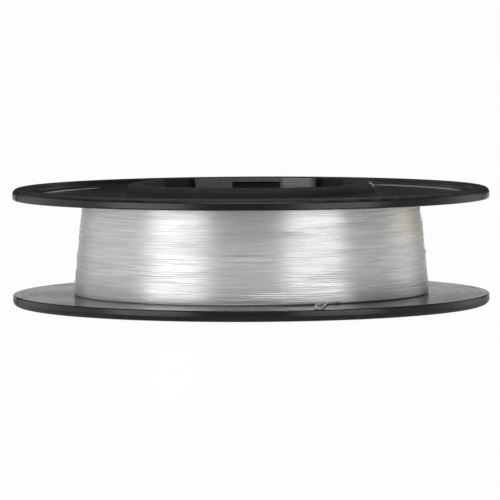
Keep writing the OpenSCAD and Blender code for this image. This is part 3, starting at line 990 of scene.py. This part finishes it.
def make_winding(material):
    """The outer layer: one long helix, and the strands that drift over it and cross it."""
    foot_z, top_z = INNER_Z0 + LINE_R + LINE_CLEAR, INNER_Z1 - LINE_R
    common = {
        "Line Radius": LINE_R * MM,
        "Foot Radius": (fill_r(foot_z) - LINE_R) * MM,
        "Top Radius": (fill_r(top_z) - LINE_R) * MM,
        "Foot Height": foot_z * MM,
        "Top Height": top_z * MM,
        "Lumps": 0.2 * MM,
        "Bulge": 0.4 * MM,
    }
    turns = 44.5
    outer = wind(
        "outer_turns", winding_tree("Wind the outer layer", crossing=False), material,
        **common, **{
            "Strands": 1, "Turns": turns, "Points": int(turns * 120) + 1, "Sides": 8,
            "End Azimuth": math.radians(LEAVE_AZ), "Wander": 0.12 * MM, "Jitter": 0.03 * MM,
            "Climb": 0.0, "Sink": 0.0, "Rise": 0.0, "Seed": 4,
        },
    )
    crossing_tree = winding_tree("Cross the outer layer", crossing=True)
    mild = wind(
        "drifting_strands", crossing_tree, material,
        **common, **{
            "Strands": 34, "Turns": 1.6, "Points": 150, "Sides": 8,
            "End Azimuth": 0.0, "Wander": 0.1 * MM, "Jitter": 0.05 * MM,
            "Climb": 0.06, "Sink": 0.5 * MM, "Rise": 0.0, "Seed": 11,
        },
    )
    steep = wind(
        "crossing_strands", crossing_tree, material,
        **common, **{
            "Strands": 12, "Turns": 0.7, "Points": 90, "Sides": 8,
            "End Azimuth": 0.0, "Wander": 0.04 * MM, "Jitter": 0.03 * MM,
            "Climb": 0.28, "Sink": 0.5 * MM, "Rise": 0.03 * MM, "Seed": 23,
        },
    )
    for obj in (outer, mild, steep):
        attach(obj, "root")
    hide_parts("line_outer_turns")


# How bright the loose end is, and the length over which the painted contact shade at its start fades out
TAG_TONE = 0.5
TAG_FADE = 1.8

# Route of the loose end on the lower flange: azimuth past the winding's end,
# share of the way from the winding to the rim's edge, and lift off the flange in line diameters
TAG_ROUTE = [
    (-4.5, 0, 0), (-7.4, 0.26, 0), (-9.9, 0.54, 0), (-11.8, 0.81, 0), (-12.5, 0.93, 0), (-13, 0.955, 0.1),
    (-13.5, 0.945, 0.15), (-13.65, 0.9, 0.2), (-13.2, 0.76, 0.35), (-12.2, 0.58, 0.5), (-11.5, 0.51, 0.65),
    (-10.8, 0.5, 0.85), (-10.2, 0.52, 1.1), (-9.9, 0.55, 1.5),
]


def smooth_path(knots, steps):
    """A Catmull-Rom curve through the knots."""
    path = []
    for i in range(len(knots) - 1):
        a, b, c, d = (knots[max(0, min(len(knots) - 1, i + k))] for k in (-1, 0, 1, 2))
        for k in range(steps):
            s = k / steps
            path.append(0.5 * (
                2 * b + (c - a) * s + (2 * a - 5 * b + 4 * c - d) * s * s + (3 * b - a - 3 * c + d) * s ** 3
            ))
    return path + [knots[-1]]


def make_loose_end(material):
    """The line's loose end, which lies on the lower flange."""
    z = INNER_Z0 + LINE_R + LINE_CLEAR
    reach = FLANGE_R - fill_r(z)
    start = polar(fill_r(z) - LINE_R, LEAVE_AZ, z)
    leave = Vector((math.sin(math.radians(LEAVE_AZ)), -math.cos(math.radians(LEAVE_AZ)), 0))
    knots = [start, start + leave * LINE_D, start + leave * 2 * LINE_D]
    for past, out, lift in TAG_ROUTE:
        knots.append(polar(fill_r(z) + reach * out, LEAVE_AZ + past, z + lift * LINE_D))
    end = tube("loose_end", smooth_path(knots, steps=6), LINE_R, sides=12)
    tone = end.data.attributes.new("tone", "FLOAT", "POINT")
    fresh = [(v.co - start * MM).length / (TAG_FADE * MM) for v in end.data.vertices]
    tone.data.foreach_set("value", [TAG_TONE * min(1.0, f) for f in fresh])
    end.data.shade_smooth()
    end.data.materials.append(material)
    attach(end, "root")
    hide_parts("line_tag_end")


# ---------------------------------------------------------------- studio


# The floor: its half width in metres, its paint, and its glow as seen directly and as mirrored
FLOOR_REACH = 100.0
FLOOR_PAINT, FLOOR_ROUGH = (0.9, 0.9, 0.9, 1), 0.12
FLOOR_GLOW = 0.98
MIRRORED_GLOW = 0.1


def make_floor():
    """A glossy white floor. Its glow reaches only what looks at it, so that it lights nothing."""
    material = bpy.data.materials.new("white sweep")
    material.use_nodes = True
    t = Tree(material.node_tree)
    material.node_tree.nodes.clear()
    paint = t.add("ShaderNodeBsdfPrincipled")
    paint.inputs["Base Color"].default_value = FLOOR_PAINT
    paint.inputs["Roughness"].default_value = FLOOR_ROUGH
    glow = t.add("ShaderNodeEmission")
    rays = t.add("ShaderNodeLightPath").outputs
    straight = t.math("MAXIMUM", rays["Is Camera Ray"], rays["Is Transmission Ray"])
    mirrored = t.math("MULTIPLY", rays["Is Glossy Ray"], MIRRORED_GLOW)
    seen = t.math("ADD", t.math("MULTIPLY", straight, FLOOR_GLOW), mirrored)
    mix = t.add("ShaderNodeMixShader")
    t.feed(mix.inputs[0], seen)
    t.feed(mix.inputs[1], paint.outputs[0])
    t.feed(mix.inputs[2], glow.outputs[0])
    t.feed(t.add("ShaderNodeOutputMaterial").inputs["Surface"], mix.outputs[0])
    far = FLOOR_REACH / MM
    corners = [(-far, -far, 0), (far, -far, 0), (far, far, 0), (-far, far, 0)]
    floor = mesh_object("floor", corners, [(0, 1, 2, 3)])
    floor.data.materials.append(material)


# Lamps: name, azimuth in degrees (0 in front, 90 to the right), height, distance, width and tallness in
# metres, and strength
LAMPS = [
    ("left softbox", -49, 0.115, 1.0, 0.75, 0.24, 3.6),
    ("right softbox", 41.5, 0.115, 1.0, 0.72, 0.24, 3.45),
    ("front softbox", 0, 0.6, 0.9, 0.9, 0.35, 2.9),
    ("overhead softbox", 180, 1.2, 0.1, 1.6, 1.6, 0.45),
    ("low back strip", 180, 0.007, 0.1, 0.14, 0.014, 0.6),
]

# The world's glow by the direction looked in: from, to, and the glow at each where it isn't 0 and 1
WALLS_ASIDE = (0.5, 0.85)
WALLS_LEFT_RIGHT = (-0.3, 0.3, 1.12, 0.42)
CORNER_RIGHT = (0.2, 0.5)
CORNER_BACK = (0.1, 0.5, 0.0, 0.85)
WALLS_TOP = (0.12, 0.4, 1.0, 0.0)
CEILING = (0.2, 0.7, 0.04, 0.3)


def softbox(name, azimuth, height, distance, width, tall, strength):
    """A rectangular lamp that faces the spool."""
    a = math.radians(azimuth)
    lamp = bpy.data.lights.new(name, "AREA")
    lamp.shape = "RECTANGLE"
    lamp.size, lamp.size_y = width, tall
    lamp.energy = strength * width * tall * math.pi
    obj = bpy.data.objects.new(name, lamp)
    obj.location = (math.sin(a) * distance, -math.cos(a) * distance, height)
    aim = Vector((0, 0, MIDDLE_Z * MM)) - obj.location
    obj.rotation_euler = aim.to_track_quat("-Z", "Y").to_euler()
    obj.visible_camera = False
    bpy.context.scene.collection.objects.link(obj)


def make_studio():
    """Floor, lamps and the world's soft walls."""
    make_floor()
    for lamp in LAMPS:
        softbox(*lamp)
    world = bpy.data.worlds.new("studio")
    world.use_nodes = True
    t = Tree(world.node_tree)
    x, y, z = t.apart(t.add("ShaderNodeTexCoord").outputs["Generated"])
    corner = t.math("MULTIPLY", t.spread(x, *CORNER_RIGHT), t.spread(y, *CORNER_BACK))
    walls = t.math("ADD", t.spread(x, *WALLS_LEFT_RIGHT), corner)
    aside = t.spread(t.math("ABSOLUTE", x), *WALLS_ASIDE)
    walls = t.product(aside, walls, t.spread(z, *WALLS_TOP))
    background = world.node_tree.nodes["Background"]
    background.inputs["Color"].default_value = (1, 1, 1, 1)
    t.feed(background.inputs["Strength"], t.math("ADD", walls, t.spread(z, *CEILING)))
    bpy.context.scene.world = world
    bpy.context.scene.view_settings.view_transform = "Standard"


# Camera: nearly side on, a little above, as far off as a product shot
AIM_Z = 7.9
VIEW_DISTANCE = 600.0
VIEW_ELEVATION = 3.707
VIEW_ROLL = -0.27
FOCAL_PX, PICTURE_PX = 4081.0, 500
SENSOR_WIDTH = 36.0
AIM_PX = (251.08, 254.02)


def make_camera():
    """The camera, and the scene's use of it."""
    e = math.radians(VIEW_ELEVATION)
    back = Vector((0, -math.cos(e), math.sin(e)))
    camera = bpy.data.cameras.new("camera")
    camera.sensor_width = SENSOR_WIDTH
    camera.lens = FOCAL_PX / PICTURE_PX * camera.sensor_width
    camera.shift_x = (PICTURE_PX / 2 - AIM_PX[0]) / PICTURE_PX
    camera.shift_y = (AIM_PX[1] - PICTURE_PX / 2) / PICTURE_PX
    obj = bpy.data.objects.new("camera", camera)
    obj.location = (Vector((0, 0, AIM_Z)) + back * VIEW_DISTANCE) * MM
    look = (-back).to_track_quat("-Z", "Y").to_matrix().to_4x4()
    obj.rotation_euler = (look @ Matrix.Rotation(math.radians(VIEW_ROLL), 4, "Z")).to_euler()
    bpy.context.scene.collection.objects.link(obj)
    bpy.context.scene.camera = obj


make_camera()
make_studio()
groups = {"moulding": moulding_group(), "worn edge": worn_edge_group(), "strand": strand_group()}

# Edges that wear: radius, height from the spool's middle, width
rim_edge = (FLANGE_R - 0.25, MIDDLE_Z - COLLAR_RISE - 0.25, 0.5)
collar_edge = (COLLAR_R - 0.3, MIDDLE_Z - 0.3, 0.5)
drum_edge = (HUB_R, MIDDLE_Z - COLLAR_H, 0.4)

# The flanges get the painted highlight streaks and the painted highlight on the collar's shoulder; the hub
# gets none
flange_plastic = plastic(
    "flange plastic", dark=(0.005, 0.005, 0.0055, 1), light=(0.010, 0.010, 0.0105, 1),
    inside=0.14, outside=(0.6, 0.16, 0.26), edges=[rim_edge, collar_edge], highlight_streaks=0.8, groups=groups,
)
hub_plastic = plastic(
    "hub plastic", dark=(0.014, 0.014, 0.015, 1), light=(0.024, 0.024, 0.025, 1),
    inside=0.35, outside=(0.35, 0.35, 0.35), edges=[drum_edge], highlight_streaks=0.0, groups=groups,
)
wound_line = clear_line(
    "wound line", deep=(0.66, 0.67, 0.67, 1), bright=(0.99, 0.99, 0.99, 1),
    roughness=0.33, metal=0.42, cloud_share=0.2, groups=groups,
)
under_line = clear_line(
    "line below", deep=(0.85, 0.85, 0.85, 1), bright=(0.93, 0.93, 0.93, 1),
    roughness=0.33, metal=0.42, cloud_share=0.8, groups=groups,
)

make_flanges(flange_plastic)
make_inner_layers(under_line)
make_winding(wound_line)
make_loose_end(single_strand(groups))
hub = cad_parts["hub_drum"]
hub.data.materials.clear()
hub.data.materials.append(hub_plastic)
